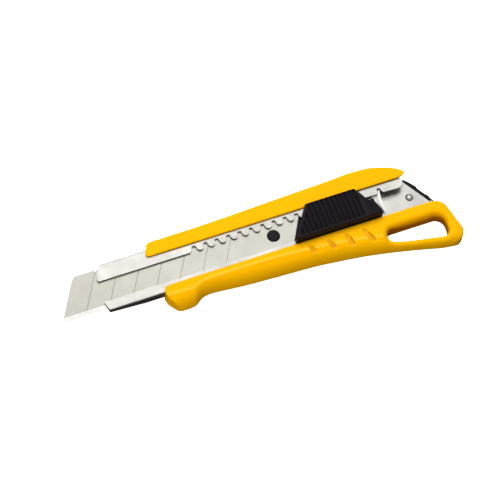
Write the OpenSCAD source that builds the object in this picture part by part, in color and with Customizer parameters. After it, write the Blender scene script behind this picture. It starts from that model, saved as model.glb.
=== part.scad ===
// Snap-off utility knife with a slide-and-lock blade.
//
// The parts are drawn in the blade's frame: x runs back from the blade tip, y runs up from the
// cutting edge to the spine, and z = 0 is the blade's upper face. place() then moves the finished
// knife so that it lies on its back with the origin at the bottom centre of its box.

/* [Blade] */
// Length of the blade along its cutting edge
blade_l = 100; // [98:0.5:101]
// Height of the blade from cutting edge to spine
blade_w = 18; // [17.6:0.1:18.1]
// Thickness of the blade
blade_t = 0.5; // [0.4:0.05:0.5]
// Distance between two score lines
segment = 10; // [8:0.5:12]
// Number of score lines
score_count = 7; // [1:1:7]
// Slant of the tip and of the score lines
slant = 60; // [58:1:62]
// Height of the ground bevel
bevel_h = 2; // [1:0.1:3]
// Diameter of the hole that the carrier's stud drives
blade_hole_d = 5.5; // [5.4:0.1:6]

/* [Sheath] */
// Sheet thickness of the steel channel
steel_t = 0.9; // [0.7:0.05:1]
// Inside height of the channel across the blade
channel_w = 18.8; // [18.7:0.1:19]
// Depth of the channel floor below the blade's upper face
floor_z = 2.8; // [2.7:0.05:3]
// Start of the channel behind the blade tip
nose_x = 19; // [16:0.5:21]
// Length of the ramp that lifts the floor to the blade at the nose
ramp_l = 17; // [12:0.5:17]
// Distance between two rack notches
notch_pitch = 5; // [5:0.5:5]
// Number of regular rack notches
notch_count = 15; // [12:1:15]
// Position of the first rack notch
first_notch = 61.6; // [61:0.1:62]
// Position of the stowing notch behind the rack
stow_notch = 143.2; // [142:0.1:144]

/* [Handle] */
// Overall length from blade tip to loop end
handle_end = 170.8; // [170.4:0.1:172]
// Height of the moulded faces above the blade's upper face
face_z = 2.2; // [2:0.1:2.4]
// Depth of the back of the knife below the blade's upper face
back_z = 6.8; // [6.4:0.1:7.2]
// Edge of the grip's lip over the channel
grip_lip = 1.2; // [0.8:0.1:1.4]
// Edge of the spine rail's lip over the channel
rail_lip = 15.65; // [15.6:0.05:16.4]
// Radius of the rail's outer front edge
rail_round = 1.8; // [1:0.1:2.4]
// Radius of the finger grooves
groove_r = 0.75; // [0.4:0.05:0.9]

/* [Slider] */
// Height of the slider's ribbed face above the blade's upper face
slider_z = 6.2; // [5.8:0.1:6.6]
// Distance between two ribs
rib_pitch = 2.05; // [1.6:0.05:2.4]
// Depth of the grooves between the ribs
rib_h = 0.7; // [0.3:0.1:1]
// Travel of the slider on the carrier each way, which frees the lock
slider_play = 0.8; // [0.4:0.1:0.9]

/* [Hidden] */
$fn = 48;

gap = 0.05;                                    // clearance between fixed pieces
merge = 0.01;                                  // overlap of cuts that join end to end
run = 0.3;                                     // clearance of the moving pieces at their sides
far = 400;                                     // longer than the knife, for cuts that run through
lean = 1 / tan(slant);                         // x that a slanted line gains for each y
floor_top = -floor_z;
floor_low = -floor_z - steel_t;
lip_low = 0.15;                                // underside of the channel's lips, over the blade
lip_top = lip_low + steel_t;
wall_low = blade_w / 2 - channel_w / 2 - 0.1;  // inside faces of the channel's two walls
wall_high = wall_low + channel_w;
out_low = wall_low - steel_t;
out_high = wall_high + steel_t;
under_blade = -blade_t - 0.02;
nose_floor = -blade_t - lip_low;               // top of the floor at the nose
ramp_end = nose_x + ramp_l;
web_front = 46.5;                              // the grip's back web, behind the channel
web_rear = 146.4;
web_top = 15.2;
web_z = floor_low - gap;
stud = [blade_l - 5.4, 8.4];
rivet_at = [155.2, 7.5];
low_lip_edge = 2.84;                           // edge of the lower lip ahead of the slider
low_lip_rear = 1.7;                            // and behind it, where the lip is narrower
rack_root = 14.6;                              // bottom of a notch
rack_tip = 12;                                 // rounded tip of a tooth
rack_flank = 12;                               // flank angle of a tooth
tip_r = 1.42;
notch_half = 0.78;                             // half width of a notch at its bottom
notch_r = 0.35;
floor_rivets = [[58, 6], [58, 16.3], [132, 6], [132, 16.3]];

// ---- curves ----

function segment_of(x, p, i = 0) = (i >= len(p) - 2 || x < p[i + 1][0]) ? i : segment_of(x, p, i + 1);
function slope(p, i) =
    let (a = max(i - 1, 0), b = min(i + 1, len(p) - 1)) (p[b][1] - p[a][1]) / (p[b][0] - p[a][0]);
// Height at x of a smooth curve through the points p, which are sorted by x
function curve(x, p) =
    let (i = segment_of(x, p), a = p[i], b = p[i + 1], h = b[0] - a[0], t = (x - a[0]) / h)
    (2 * t ^ 3 - 3 * t ^ 2 + 1) * a[1] + (t ^ 3 - 2 * t ^ 2 + t) * h * slope(p, i)
    + (3 * t ^ 2 - 2 * t ^ 3) * b[1] + (t ^ 3 - t ^ 2) * h * slope(p, i + 1);
// Points of an elliptical arc about c
function arc(c, rx, ry, from, to, n) =
    [for (i = [0:n]) let (a = from + (to - from) * i / n) c + [rx * cos(a), ry * sin(a)]];
// Rounding of an end of radius r that stands at x = 0
function end_drop(x, r) = x >= r ? 0 : r - sqrt(r ^ 2 - (r - max(x, 0)) ^ 2);

// ---- grip outline: lists of [x, y] that curve() joins ----

grip_x0 = 43.7;
grip_top = [[grip_x0, -1], [44.7, 0.7], [46, grip_lip], [50, grip_lip], [158, grip_lip], [162.8, 1.2],
            [165.4, 0.8], [167.2, -0.6], [168.7, -4.6], [169.6, -8.6], [170.3, -11.2], [handle_end, -12.6]];
grip_belly = [[grip_x0, -1.8], [44.4, -3.9], [46, -6.5], [48.6, -8.7], [51.9, -9.3], [55, -8.7],
              [58.2, -6.6], [62, -5.9], [67, -6.2], [77, -7.1], [92, -7.9], [107, -8.6], [116, -9.5],
              [128, -11], [140, -13.2], [152, -15.9], [160, -17.9], [164, -18.5], [167, -18.1],
              [169.2, -16.7], [170.4, -14.9], [handle_end, -13.4]];
crease = [[grip_x0, -2.8], [55, -3.2], [58, -2.1], [62, -1.3], [80, -1.2], [100, -2], [107, -2.6],
          [115, -3.4], [123, -4.4], [131, -5.8], [137, -6.8], [144, -7], [handle_end, -7]];
corner = [[grip_x0, 0.6], [50, 0.4], [156, 0.4], [162, 0.7], [165, 1.5], [167, 2.3], [handle_end, 2.4]];
face_sink = [[grip_x0, 0], [144, 0], [154, 0], [162, 0.2], [166, 0.5], [handle_end, 0.9]];
grip_stations = [grip_x0, 43.9, 44.3, 44.8, 45.6, 46.8, 48.2, 50, 52, 54, 55.6, 57, 58.6, 60.2, 62, 64.5,
                 68, 74, 82, 91, 100, 107, 115, 123, 128, 134, 140, 146, 152, 156, 160, 162, 164, 165.8,
                 167, 168, 168.9, 169.6, 170.2, 170.6, handle_end];
crease_angle = 24;                             // how far the side has already turned at the crease
belly_mid = -3;                                // height at which the side is widest

function grip_section(x) =
    let (
        end = min(x - grip_x0, 1) < 1 ? end_drop(x - grip_x0, 1) : end_drop(handle_end - x, 3),
        yt = curve(x, grip_top),
        yb = curve(x, grip_belly),
        wide = yt - yb,
        r = min(curve(x, corner), 0.3 * wide),
        zt = face_z - curve(x, face_sink) - end,
        zb = -back_z + end,
        yc = max(min(curve(x, crease), yt - r - 0.05), yb + 0.35 * wide),
        reach = (yc - yb) / (1 - sin(crease_angle)),
        rise = (zt - belly_mid) / cos(crease_angle),
        turn = min(2.4, 0.4 * wide)
    )
    concat(
        arc([yt - r, zt - r], r, r, 0, 90, 3),
        [for (i = [0:7]) let (a = crease_angle + (90 - crease_angle) * i / 7)
            [yc - reach * (sin(a) - sin(crease_angle)), zt - rise * (cos(crease_angle) - cos(a))]],
        arc([yb + turn, belly_mid], turn, belly_mid - zb, 200, 270, 3),
        arc([yt - r, zb + r], r, r, 270, 350, 2)
    );
// Height of the grip's front surface at a point
function grip_surface(x, y) =
    let (yc = curve(x, crease), reach = (yc - curve(x, grip_belly)) / (1 - sin(crease_angle)),
         a = asin(sin(crease_angle) + max(yc - y, 0) / reach))
    face_z - (face_z - belly_mid) / cos(crease_angle) * (cos(crease_angle) - cos(a));

// Centres and radii whose hull is the loop's opening
loop_round = [[142, -7.35, 2.65], [160.8, -8.9, 4.2], [161.9, -11.5, 2.9]];
loop_flare = 1.6;                              // how far its edges are rounded
loop_steps = 3;

// Two ends of each finger groove
grooves = [[[106.9, -0.9], [107.9, -4.3]], [[114.8, -1.2], [116.4, -5.2]],
           [[122.7, -1.2], [124.3, -6.2]], [[130.3, -1.4], [133, -7.5]]];

// ---- rail outline ----

rail_x0 = 41.6;
rail_x1 = 156.2;
rail_outer = [[rail_x0, 17.2], [42.2, 18.7], [43.2, 20.4], [44.4, 21.6], [48, 22.1], [67, 22.3], [103, 23.5],
              [125.5, 24.3], [133, 24.7], [138.7, 24.6], [143.7, 24.1], [149.7, 22.2],
              [152.5, 20.8], [155, 19.1], [rail_x1, 17.9]];
rail_inner = [[rail_x0, 16.6], [42.2, 15.8], [43.2, rail_lip], [152, rail_lip], [153.4, 15.7],
              [155, 16.3], [rail_x1, 17.1]];
rail_stations = [rail_x0, 41.9, 42.4, 43, 43.7, 44.6, 46.4, 50, 58, 67, 79, 91, 103, 114, 125.5, 130, 133,
                 138.7, 143.7, 147, 149.7, 151.4, 153, 154.4, 155.5, rail_x1];

function rail_section(x) =
    let (
        end = min(x - rail_x0, 1) < 1 ? end_drop(x - rail_x0, 0.8) : end_drop(rail_x1 - x, 1.2),
        yo = curve(x, rail_outer),
        yi = curve(x, rail_inner),
        r = min(rail_round, 0.4 * (yo - yi)),
        c = min(0.35, 0.2 * (yo - yi)),
        zt = face_z - end,
        zb = -back_z + end
    )
    concat(
        arc([yo - r, zt - r], r, r, 0, 90, 5),
        arc([yi + c, zt - c], c, c, 90, 180, 2),
        arc([yi + c, zb + c], c, c, 180, 270, 2),
        arc([yo - r, zb + r], r, r, 270, 355, 5)
    );

grip_low = min([for (x = grip_stations) curve(x, grip_belly)]);
rail_high = max([for (x = rail_stations) curve(x, rail_outer)]);

// ---- helpers ----

// Solid skinned over one [y, z] ring for each station along x
module skin(stations, rings) {
    n = len(rings[0]);
    last = len(rings) - 1;
    polyhedron(
        points = [for (i = [0:last]) for (p = rings[i]) [stations[i], p[0], p[1]]],
        faces = concat(
            [[for (j = [0:n - 1]) j]],
            [[for (j = [n - 1:-1:0]) last * n + j]],
            [for (i = [0:last - 1]) for (j = [0:n - 1]) let (k = (j + 1) % n)
                [i * n + j, (i + 1) * n + j, (i + 1) * n + k]],
            [for (i = [0:last - 1]) for (j = [0:n - 1]) let (k = (j + 1) % n)
                [i * n + j, (i + 1) * n + k, i * n + k]]
        ),
        convexity = 6
    );
}

module block(from, to) {
    translate(from) cube(to - from);
}

// Prism of a plan outline between two heights
module plate(from, to) {
    translate([0, 0, from]) linear_extrude(to - from) children();
}

// Prism of an x-z outline between two y values
module across(from, to) {
    translate([0, to, 0]) rotate([90, 0, 0]) linear_extrude(to - from) children();
}

// Moves the finished knife to its own frame
module place() {
    translate([-handle_end / 2, -(grip_low + rail_high) / 2, back_z]) children();
}

// ---- yellow mouldings ----

module loop_layer(z0, z1, d0, d1) {
    hull()
        for (c = loop_round)
            translate([c[0], c[1], z0 - merge])
                cylinder(h = z1 - z0 + 2 * merge, r1 = c[2] + d0, r2 = c[2] + d1, $fn = 32);
}

module loop_opening() {
    function flare(i) = loop_flare * (1 - sqrt(1 - (i / loop_steps) ^ 2));
    low = -back_z + loop_flare;
    high = face_z - loop_flare - 0.5;
    step = loop_flare / loop_steps;
    loop_layer(low, high, 0, 0);
    for (i = [0:loop_steps - 1]) {
        loop_layer(high + i * step, high + (i + 1) * step, flare(i), flare(i + 1));
        loop_layer(low - (i + 1) * step, low - i * step, flare(i + 1), flare(i));
    }
    loop_layer(high + loop_flare, face_z + 1, loop_flare, loop_flare + 0.5);
}

module groove(ends) {
    hull()
        for (p = ends)
            translate([p[0], p[1], grip_surface(p[0], p[1]) + 0.3 * groove_r]) sphere(groove_r, $fn = 20);
}

// Space that the channel takes up in the mouldings, with its open side towards the slider
module sheath_pocket(low, high) {
    block([nose_x, low, web_z], [162.4 + gap, high, lip_top + gap]);
}

module rivet_holes(top) {
    for (p = floor_rivets)
        translate([p[0], p[1], -back_z]) {
            translate([0, 0, -1]) cylinder(h = back_z + top + 1, r = 1.5 + gap);
            translate([0, 0, -1]) cylinder(h = 2, r = 2.8 + gap);
        }
}

module grip_body() {
    color("#ffc400") place() difference() {
        union() {
            skin(grip_stations, [for (x = grip_stations) grip_section(x)]);
            block([web_front, 0, -back_z], [web_rear, web_top, web_z]);
        }
        sheath_pocket(out_low - gap, far);
        loop_opening();
        for (g = grooves) groove(g);
        rivet_holes(0);
    }
}

module spine_rail() {
    color("#ffc400") place() difference() {
        union() {
            skin(rail_stations, [for (x = rail_stations) rail_section(x)]);
            block([web_front, web_top + gap, -back_z], [web_rear, rail_lip + 1, web_z]);
        }
        sheath_pocket(0, out_high + gap);
        block([153, 0, -back_z - 1], [far, far, web_z]);
        rivet_holes(0);
    }
}

// ---- steel channel ----

// Outline of one tooth between two notches, as seen from above
function tooth(x) = arc([x, rack_tip + tip_r], tip_r, tip_r, 180 + rack_flank, 360 - rack_flank, 8);
function notch(x) =
    concat(
        arc([x - notch_half + notch_r, rack_root - notch_r], notch_r, notch_r, 180 - rack_flank, 90, 3),
        arc([x + notch_half - notch_r, rack_root - notch_r], notch_r, notch_r, 90, rack_flank, 3)
    );

function rack_edge() = concat(
    [[nose_x + 0.6, 12.15], [first_notch - 2.3, 12.15], [first_notch - 1.7, 12.6]],
    [for (k = [0:notch_count - 1]) let (x = first_notch + k * notch_pitch)
        each concat(notch(x), k < notch_count - 1 ? tooth(x + notch_pitch / 2) : [])]
);

module lip_slot() {
    last_notch = first_notch + (notch_count - 1) * notch_pitch;
    plate(-blade_t, lip_top + 1)
        polygon(concat(
            [[0, low_lip_edge]],
            [[0, 13.4], [nose_x + 0.3, 13.4]],
            rack_edge(),
            [[last_notch + 1.7, 12.3], [last_notch + 2.3, 11.9], [stow_notch - 1, 11.8],
             [stow_notch - 0.75, 14], [stow_notch - 0.5, 14.2], [stow_notch + 0.5, 14.2],
             [stow_notch + 0.8, 13.9], [stow_notch + 1.6, 11.8], [151, 11.6]],
            arc([151.4, 14.4], 2.7, 2.8, 278, 360, 6),
            [[153.5, 15.8], [153.5, out_high + 1], [far, out_high + 1], [far, low_lip_rear],
             [141.6, low_lip_rear], [140.4, low_lip_edge]]
        ));
}

module blade_sheath() {
    color("#d8d9d6") place() difference() {
        intersection() {
            plate(floor_low, lip_top)
                polygon([[nose_x + 1.2, out_low], [nose_x, 2.4], [nose_x + 0.3, 13.4],
                         [nose_x + 3.1, out_high], [153.5, out_high], [153.5, 17.6],
                         [162.4, 3.4], [162.4, out_low]]);
            across(out_low, out_high)
                polygon([[nose_x, nose_floor - steel_t], [ramp_end, floor_low], [far, floor_low],
                         [far, lip_top], [nose_x, lip_top]]);
        }
        across(wall_low, wall_high)
            polygon([[nose_x - 1, nose_floor], [nose_x, nose_floor], [ramp_end, floor_top],
                     [far, floor_top], [far, lip_low], [nose_x - 1, lip_low]]);
        lip_slot();
        for (p = floor_rivets)
            translate([p[0], p[1], floor_low - 0.1])
                cylinder(h = steel_t + 0.2, r1 = 1.5, r2 = 2.7);
        translate([rivet_at[0], rivet_at[1], floor_low - 1]) cylinder(h = 3, r = 1 + gap);
    }
}

module rear_end_plate() {
    color("#1b1a1c") place() difference() {
        plate(-back_z + 0.6, web_z)
            polygon([[web_rear + gap, 3.2], [web_rear + gap, web_top], [152.9, web_top], [153.6, 16.3],
                     [156.3, 16.3], [157.6, 14.8], [159.6, 12.4], [160.1, 11.4], [160.2, 10.8],
                     [162.2, 7.5], [163.3, 6.3], [163.7, 5], [164.7, 3.2]]);
        translate([rivet_at[0], rivet_at[1], -back_z - 1]) cylinder(h = back_z, r = 1 + gap);
    }
}

// Snap head on the floor, shank through the end plate, and its closed end behind
module rear_rivet() {
    head_r = 1.7;
    head_h = 0.9;
    ball_r = (head_r ^ 2 + head_h ^ 2) / (2 * head_h);
    color("#c9cac8") place() translate([rivet_at[0], rivet_at[1], 0]) {
        translate([0, 0, floor_top])
            intersection() {
                translate([0, 0, head_h - ball_r]) sphere(ball_r);
                cylinder(h = head_h, r = head_r);
            }
        translate([0, 0, -back_z + 0.3]) cylinder(h = back_z - 0.3 + floor_top, r = 1);
        translate([0, 0, -back_z + 0.1]) cylinder(h = 0.5, r = 1.8);
    }
}

// Flush rivets that hold the channel to the two mouldings
module sheath_rivets() {
    color("#b9bbb9") place()
        for (p = floor_rivets)
            translate([p[0], p[1], 0]) {
                translate([0, 0, floor_low + gap])
                    cylinder(h = steel_t - 2 * gap, r1 = 1.5, r2 = 2.45);
                translate([0, 0, -back_z + 0.3]) cylinder(h = back_z - 0.3 + floor_low + gap, r = 1.5);
                translate([0, 0, -back_z + 0.2]) cylinder(h = 0.8 - gap, r = 2.8);
            }
}

// ---- blade and what moves with it ----

module blade() {
    step = 1.5;
    function edge_x(y) = y * lean;
    color("#d6d5cf") place() difference() {
        intersection() {
            plate(-blade_t, 0)
                polygon([[0, 0], [edge_x(blade_w - step), blade_w - step],
                         [edge_x(blade_w) + 0.9, blade_w],
                         [blade_l + edge_x(blade_w) - 1.2, blade_w],
                         [blade_l + edge_x(blade_w - step) - 0.2, blade_w - step],
                         [blade_l, 0]]);
            rotate([90, 0, 90]) linear_extrude(far)
                polygon([[0, -blade_t / 2 - 0.03], [bevel_h, -blade_t], [blade_w + 1, -blade_t],
                         [blade_w + 1, 0], [bevel_h, 0], [0, -blade_t / 2 + 0.03]]);
        }
        for (k = [1:score_count])
            translate([k * segment, 0, 0]) {
                // score line across the blade
                rotate([0, 0, slant]) translate([-2, 0, 0]) rotate([45, 0, 0])
                    translate([0, -0.1, -0.1]) cube([blade_w * 1.3, 0.2, 0.2]);
                // nick where it meets the spine
                plate(-blade_t - 1, 1)
                    polygon([[edge_x(blade_w) - 0.6, blade_w + 0.1], [edge_x(blade_w) + 0.9, blade_w + 0.1],
                             [edge_x(blade_w - 0.8) - 0.1, blade_w - 0.8]]);
            }
        translate([stud[0], stud[1], -2]) cylinder(h = 4, r = blade_hole_d / 2);
    }
}

neck_low = low_lip_edge + 0.4;
neck_high = 10.8;
neck_top = lip_top + 0.2;
rail_from = 112;                               // T rail on the neck that the slider rides on
rail_to = 132;
stem = [5.2, 9];
head = [4.2, 10];
head_z = [3, 4.2];
carrier_rear = 126.6;

function behind_blade(y, d) = [blade_l + y * lean + d, y];

module blade_carrier() {
    color("#201f22") place() difference() {
        union() {
            plate(floor_top + 0.1, under_blade)
                polygon([[stud[0] - 3.4, 2], [stud[0] - 1.4, wall_low + run],
                         [carrier_rear, wall_low + run], [carrier_rear, wall_high - run],
                         [stud[0] - 1.4, wall_high - run], [stud[0] - 3.4, 15]]);
            translate([stud[0], stud[1], under_blade - 0.1])
                cylinder(h = 0.1 - under_blade + 0.1, r = blade_hole_d / 2 - 0.08);
            translate([stud[0], stud[1], 0.1])
                cylinder(h = 0.3, r1 = blade_hole_d / 2 - 0.08, r2 = blade_hole_d / 2 - 0.5);
            plate(under_blade - 0.1, neck_top)
                polygon([behind_blade(neck_low, 0.3), behind_blade(neck_high, 0.3),
                         [137.2, neck_high], [139, 9.9], [141.2, 5.6], [141.6, neck_low]]);
            block([rail_from, stem[0], neck_top - 0.1], [rail_to, stem[1], head_z[0] + 0.1]);
            block([rail_from, head[0], head_z[0]], [rail_to, head[1], head_z[1]]);
        }
        // relief that lets the plate's front run on to the nose ramp
        across(-far / 8, far / 8)
            polygon([[stud[0] - 6, floor_top], [stud[0] + 2, floor_top], [stud[0] - 6, -1]]);
    }
}

// ---- lock spring: a strip on edge, with a tooth in the rack and a tail across the channel ----

function unit(v) = v / norm(v);
function normal_at(p, i) =
    let (a = p[max(i - 1, 0)], b = p[min(i + 1, len(p) - 1)], d = unit(b - a)) [-d[1], d[0]];
function offset_side(p, d) = [for (i = [0:len(p) - 1]) p[i] + d * normal_at(p, i)];
function reversed(p) = [for (i = [len(p) - 1:-1:0]) p[i]];

module strip(path, thick) {
    polygon(concat(offset_side(path, thick / 2), reversed(offset_side(path, -thick / 2))));
}

spring_t = 0.4;
spring_y = neck_high + 0.35;
tooth_x = first_notch + 11 * notch_pitch;
tail_x = 142.1;

module lock_spring() {
    tooth_half = 0.4;
    color("#c4c5c2") place() {
        plate(-0.45, lip_top - 0.1)
            strip(concat(
                [[109.5, spring_y], [tooth_x - 1.7, spring_y]],
                [[tooth_x - 1.2, spring_y + 0.5], [tooth_x - tooth_half - 0.1, 13.5]],
                [[tooth_x - tooth_half + 0.1, 13.9], [tooth_x + tooth_half - 0.1, 13.9]],
                [[tooth_x + tooth_half + 0.1, 13.5], [tooth_x + 1.2, spring_y + 0.5]],
                [[tooth_x + 1.7, spring_y], [134.4, spring_y]]
            ), spring_t);
        plate(-1.5, 0.4) strip([[132, spring_y], [134.4, spring_y]], spring_t);
        plate(-1.5, -0.6) strip([[134, spring_y], [137.4, spring_y], [139.4, spring_y + 0.2]], spring_t);
        plate(-1.5, 0.05) strip([[138.8, spring_y + 0.1], [139.4, spring_y + 0.2], [140.8, 12.1]], spring_t);
        plate(-0.3, 0.05)
            polygon([[stow_notch - 0.7, 14.2], [stow_notch + 0.6, 14.2], [tail_x + 1.4, 12.2],
                     [tail_x + 1, 10.3], [tail_x + 0.7, 7], [tail_x + 0.6, 4], [tail_x + 0.5, 2.9],
                     [tail_x + 0.1, 2.9], [141.6, 5.8], [139.9, 10.3], [140.4, 11.9], [tail_x + 0.1, 12.5]]);
    }
}

// ---- thumb slider ----

slider_low = neck_top + 0.1;
slider_front = 101.4;
slider_rear = [140.5, 132.5];                  // at its low and its high side
slope_from = 134.8;                            // behind the ribs the face slopes down
rim = 0.9;                                     // plain margin round the ribs
groove_from = 103.2;
groove_count = floor((slope_from - 1.2 - groove_from) / rib_pitch);

// Plan outline of the slider, drawn in by a margin
module slider_plan(margin) {
    low = grip_lip + run + margin;
    high = rail_lip - run - margin;
    function rear(y) = slider_rear[0] + (slider_rear[1] - slider_rear[0]) * (y - grip_lip - run)
                       / (rail_lip - grip_lip - 2 * run) - 1.2 * margin;
    polygon([behind_blade(low, slider_front - blade_l + 2 * margin),
             behind_blade(high, slider_front - blade_l + 2 * margin),
             [rear(high), high], [rear(low), low]]);
}

module slider_button() {
    low = grip_lip + run;
    high = rail_lip - run;
    lean_back = 1.6;
    front = slider_front * sin(slant);
    color("#1d1c20") place() difference() {
        intersection() {
            plate(slider_low, slider_z + 1) slider_plan(0);
            across(low, high)
                polygon([[slider_front, slider_low], [slider_front, slider_z], [slope_from, slider_z],
                         [slider_rear[0] + 1, slider_z - 0.9], [slider_rear[0] + 1, slider_low]]);
            rotate([0, 0, slant - 90]) across(-far, far)
                polygon([[front + 0.05, 0], [front + lean_back, 9], [far, 9], [far, 0]]);
        }
        intersection() {
            plate(slider_z - rib_h - 1, slider_z + 2) slider_plan(rim);
            across(low, high)
                for (k = [0:groove_count])
                    let (x = groove_from + k * rib_pitch)
                        polygon([[x - 0.45 * rib_pitch, slider_z + 0.5],
                                 [x - 0.15 * rib_pitch, slider_z - rib_h],
                                 [x + 0.15 * rib_pitch, slider_z - rib_h],
                                 [x + 0.45 * rib_pitch, slider_z + 0.5]]);
        }
        block([rail_from - slider_play - 0.1, stem[0] - 0.2, 0],
              [rail_to + slider_play + 0.1, stem[1] + 0.2, head_z[0]]);
        block([rail_from - slider_play - 0.1, head[0] - 0.2, head_z[0] - 0.15],
              [rail_to + slider_play + 0.1, head[1] + 0.2, head_z[1] + 0.15]);
    }
}

grip_body();
spine_rail();
blade_sheath();
rear_end_plate();
rear_rivet();
sheath_rivets();
blade();
blade_carrier();
lock_spring();
slider_button();
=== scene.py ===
"""Looks of the snap-off utility knife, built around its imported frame.

Shapes are worked out in millimetres in the blade's frame: x runs back from the blade tip, y runs up
from the cutting edge to the spine, and z = 0 is the blade's upper face. The two yellow mouldings and
the slider are fields, which are negative inside, meshed where they are zero.
"""
import math

import bmesh
import bpy
import numpy as np
from mathutils import Matrix, Vector


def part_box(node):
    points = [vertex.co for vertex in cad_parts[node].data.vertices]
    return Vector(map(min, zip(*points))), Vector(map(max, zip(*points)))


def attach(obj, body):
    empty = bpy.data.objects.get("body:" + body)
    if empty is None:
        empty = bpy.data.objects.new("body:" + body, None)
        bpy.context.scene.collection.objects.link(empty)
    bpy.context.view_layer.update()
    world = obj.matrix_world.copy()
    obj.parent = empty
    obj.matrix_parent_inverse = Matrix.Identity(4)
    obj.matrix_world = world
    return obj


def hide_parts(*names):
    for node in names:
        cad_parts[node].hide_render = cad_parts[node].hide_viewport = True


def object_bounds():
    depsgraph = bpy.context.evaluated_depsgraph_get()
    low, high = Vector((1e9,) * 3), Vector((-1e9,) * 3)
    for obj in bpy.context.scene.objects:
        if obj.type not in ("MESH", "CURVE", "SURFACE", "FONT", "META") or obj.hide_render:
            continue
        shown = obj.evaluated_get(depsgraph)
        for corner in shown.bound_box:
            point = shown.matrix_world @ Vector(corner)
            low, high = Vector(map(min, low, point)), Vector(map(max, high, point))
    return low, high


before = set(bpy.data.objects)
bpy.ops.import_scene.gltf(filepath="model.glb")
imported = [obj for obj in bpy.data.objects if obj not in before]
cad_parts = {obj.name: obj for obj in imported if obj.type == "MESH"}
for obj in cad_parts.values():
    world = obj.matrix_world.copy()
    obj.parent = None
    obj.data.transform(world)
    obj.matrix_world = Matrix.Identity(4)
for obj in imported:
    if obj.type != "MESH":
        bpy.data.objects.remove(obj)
cad_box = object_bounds()

MM = 0.001
blade_low, blade_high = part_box("blade")
ORIGIN = Vector((blade_low.x, blade_low.y, blade_high.z))  # the blade frame's origin in the row frame


def span(node, axis):
    """Lowest and highest place of a CAD node along an axis, in the blade frame."""
    low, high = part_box(node)
    return (low[axis] - ORIGIN[axis]) / MM, (high[axis] - ORIGIN[axis]) / MM


# ---- sizes that the frame gives ----

GRIP_X0, HANDLE_END = span("grip_body", 0)
BACK, FACE = span("grip_body", 2)
RAIL_X0, RAIL_X1 = span("spine_rail", 0)
NOSE_X, SHEATH_END = span("blade_sheath", 0)
WALL_LOW, WALL_HIGH = span("blade_sheath", 1)          # outer faces of the channel's walls
FLOOR_LOW, LIP_TOP = span("blade_sheath", 2)
SLIDER_LOW, SLIDER_HIGH = span("slider_button", 1)
SLIDER_BOTTOM, SLIDER_TOP = span("slider_button", 2)

GAP = 0.05                                             # clearance between fixed pieces
SLANT = math.radians(60)                               # of the blade's tip and score lines
LEAN = 1 / math.tan(SLANT)                             # x that a slanted line gains for each y
FAR = 400

# ---- camera, floor and light ----

CAMERA_AT = (-0.2030, -0.3810, 0.9799)
CAMERA_TURN = (0.415076, -0.055800, -0.356429)
CAMERA_LENS = 186.43
WORLD_STRENGTH = 0.38


def add_camera():
    data = bpy.data.cameras.new("camera")
    data.lens = CAMERA_LENS
    camera = bpy.data.objects.new("camera", data)
    camera.location = CAMERA_AT
    camera.rotation_euler = CAMERA_TURN
    bpy.context.scene.collection.objects.link(camera)
    bpy.context.scene.camera = camera


def add_area(name, at, size, power, diffuse=True, glossy=True):
    """A rectangular lamp that the camera cannot see, turned towards the origin."""
    data = bpy.data.lights.new(name, "AREA")
    data.shape = "RECTANGLE"
    data.size, data.size_y = size
    data.energy = power
    light = bpy.data.objects.new(name, data)
    light.visible_camera = False
    light.visible_diffuse = diffuse
    light.visible_glossy = glossy
    light.location = at
    light.rotation_euler = (-Vector(at)).to_track_quat("-Z", "Y").to_euler()
    bpy.context.scene.collection.objects.link(light)


def node(tree, kind, inputs=None, **settings):
    """A new node. inputs gives each socket a value, or another node's output to link."""
    made = tree.nodes.new(kind)
    for key, value in settings.items():
        setattr(made, key, value)
    for key, value in (inputs or {}).items():
        if isinstance(value, bpy.types.NodeSocket):
            tree.links.new(value, made.inputs[key])
        else:
            made.inputs[key].default_value = value
    return made


def ramp(tree, factor, stops):
    """A colour ramp's output. stops are (place, colour or grey level)."""
    made = node(tree, "ShaderNodeValToRGB", {"Fac": factor})
    elements = made.color_ramp.elements
    while len(elements) < len(stops):
        elements.new(0.5)
    for element, (place, colour) in zip(elements, stops):
        element.position = place
        element.color = (*colour, 1) if isinstance(colour, tuple) else (colour, colour, colour, 1)
    return made.outputs["Color"]


def add_world():
    """Soft light that is bright above and behind the spine, and dim in front of the cutting edge."""
    world = bpy.data.worlds.new("studio")
    bpy.context.scene.world = world
    world.use_nodes = True
    tree = world.node_tree
    tree.nodes.clear()
    direction = node(tree, "ShaderNodeTexCoord").outputs["Generated"]
    towards = node(tree, "ShaderNodeVectorMath", {0: direction, 1: (0.05, 0.42, 0.90)},
                   operation="DOT_PRODUCT")
    level = node(tree, "ShaderNodeMapRange", {"Value": towards.outputs["Value"], "From Min": -1.0,
                                              "From Max": 1.0})
    light = ramp(tree, level.outputs["Result"],
                 [(0.0, 0.06), (0.42, 0.13), (0.60, 0.50), (0.80, 1.0), (1.0, 1.12)])
    soft = node(tree, "ShaderNodeBackground", {"Color": light, "Strength": WORLD_STRENGTH})
    plain = node(tree, "ShaderNodeBackground", {"Color": (0.95, 0.95, 0.95, 1), "Strength": 1.0})
    seen = node(tree, "ShaderNodeLightPath").outputs["Is Camera Ray"]
    both = node(tree, "ShaderNodeMixShader", {0: seen, 1: soft.outputs["Background"],
                                              2: plain.outputs["Background"]})
    output = node(tree, "ShaderNodeOutputWorld")
    tree.links.new(both.outputs["Shader"], output.inputs["Surface"])


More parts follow.
